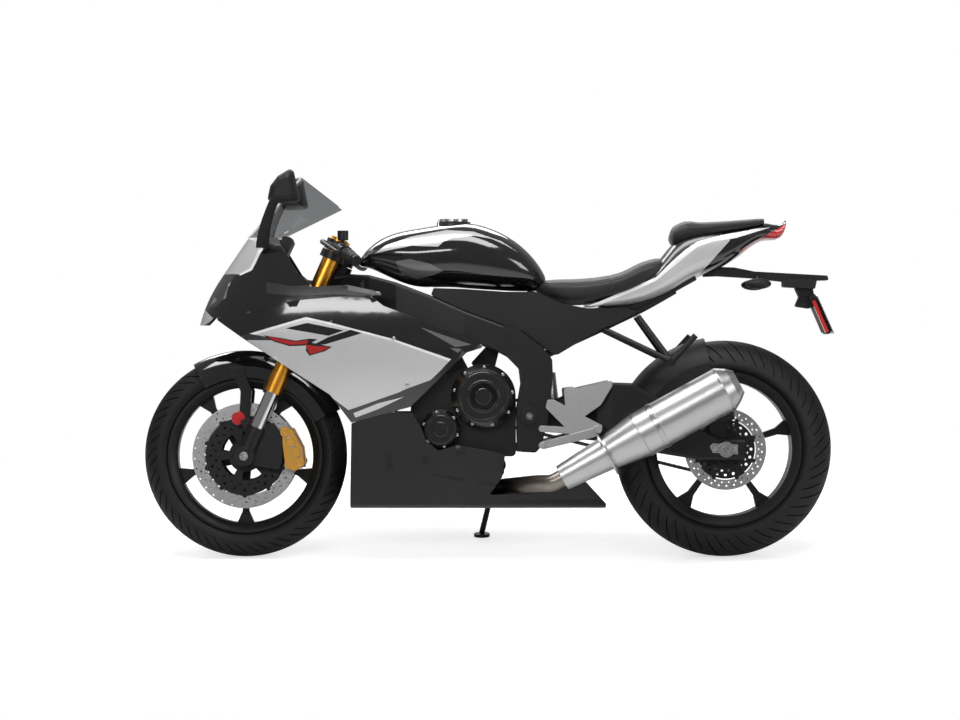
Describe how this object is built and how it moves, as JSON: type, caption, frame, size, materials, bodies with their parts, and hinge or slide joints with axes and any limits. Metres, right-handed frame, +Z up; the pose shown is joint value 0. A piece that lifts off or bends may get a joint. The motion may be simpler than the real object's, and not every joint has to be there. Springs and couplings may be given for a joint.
{
  "type": "sport motorcycle",
  "caption": "Faired sport motorcycle on its side stand, with turning wheels, steering fork, folding side stand and hinged fuel cap.",
  "frame": {"origin": "centre of the whole bike in plan, on the ground, with the bike parked on its side stand", "axes": "+X towards the front wheel, +Y towards the rider's left side, +Z up from the ground; the bike leans 9.5 degrees towards -Y"},
  "size_m": [2.0389, 0.7578, 1.1692],
  "materials": {
    "axle": "satin",
    "belly": "matt",
    "body_paint": "gloss",
    "caliper": "gold, satin",
    "caliper_rear": "satin",
    "cap": "satin",
    "casting": "satin",
    "casting_light": "satin",
    "chain": "oiled",
    "chrome": "polished",
    "control": "satin",
    "cover": "gloss",
    "disc": "drilled, brushed",
    "engine": "satin",
    "fender": "gloss",
    "frame": "satin",
    "gold": "gold anodised",
    "grip": "matt",
    "header": "satin",
    "lens": "clear",
    "muffler": "brushed",
    "plastic": "matt",
    "plate": "blank",
    "radiator": "matt",
    "red_lens": "gloss",
    "rim": "satin",
    "screen": "clear",
    "seat": "matt vinyl",
    "shock": "satin",
    "side_paint": "silver-white metallic",
    "sprocket": "satin",
    "swingarm": "satin",
    "tail_paint": "silver and black",
    "tyre": "matt",
    "yoke": "satin"
  },
  "bodies": {
    "chassis": {"belly_pan": "belly", "chain": "chain", "engine_block": "engine", "engine_covers": "cover", "exhaust_pipes": "header", "footrests": "casting_light", "fuel_tank": "body_paint", "headlights": "lens", "instruments": "plastic", "left_fairing": "side_paint", "licence_plate": "plate", "main_frame": "frame", "mirrors": "plastic", "muffler": "muffler", "nose_cowl": "body_paint", "passenger_footrests": "casting_light", "passenger_seat": "seat", "radiator": "radiator", "rear_axle": "axle", "rear_caliper": "caliper_rear", "rear_hugger": "plastic", "rear_indicators": "plastic", "rear_mudguard": "plastic", "rear_shock": "shock", "rider_seat": "seat", "right_fairing": "side_paint", "side_covers": "plastic", "stand_bracket": "frame", "subframe": "frame", "swingarm": "swingarm", "tail_cowl": "tail_paint", "tail_light": "red_lens", "windscreen": "screen"},
    "steering": {"fork_tubes": "gold", "fork_sliders": "chrome", "fork_feet": "casting", "front_axle": "axle", "yokes": "yoke", "handlebars": "control", "grips": "grip", "front_fender": "fender", "front_calipers": "caliper"},
    "front_wheel": {"front_tyre": "tyre", "front_rim": "rim", "front_discs": "disc"},
    "rear_wheel": {"rear_tyre": "tyre", "rear_rim": "rim", "rear_disc": "disc", "rear_sprocket": "sprocket"},
    "side_stand": {"side_stand": "frame"},
    "fuel_cap": {"fuel_cap": "cap"}
  },
  "joints": [
    {"name": "steering", "type": "hinge", "parent": "chassis", "child": "steering", "pos_m": [0.49024, 0.01875, 0.73601], "axis": [-0.4035, -0.151, 0.9024], "range_deg": [-27, 27]},
    {"name": "front_wheel_spin", "type": "hinge", "parent": "steering", "child": "front_wheel", "pos_m": [0.71946, 0.09226, 0.29674], "axis": [0, 0.9863, 0.165], "continuous": true},
    {"name": "rear_wheel_spin", "type": "hinge", "parent": "chassis", "child": "rear_wheel", "pos_m": [-0.69654, 0.08888, 0.31697], "axis": [0, 0.9863, 0.165], "continuous": true},
    {"name": "side_stand_fold", "type": "hinge", "parent": "chassis", "child": "side_stand", "pos_m": [-0.02854, -0.04927, 0.23365], "axis": [0, 0.9219, -0.3874], "range_deg": [0, 93]},
    {"name": "fuel_cap_hinge", "type": "hinge", "parent": "chassis", "child": "fuel_cap", "pos_m": [0.15046, -0.02207, 0.97997], "axis": [0, 0.9863, 0.165], "range_deg": [0, 90]}
  ]
}
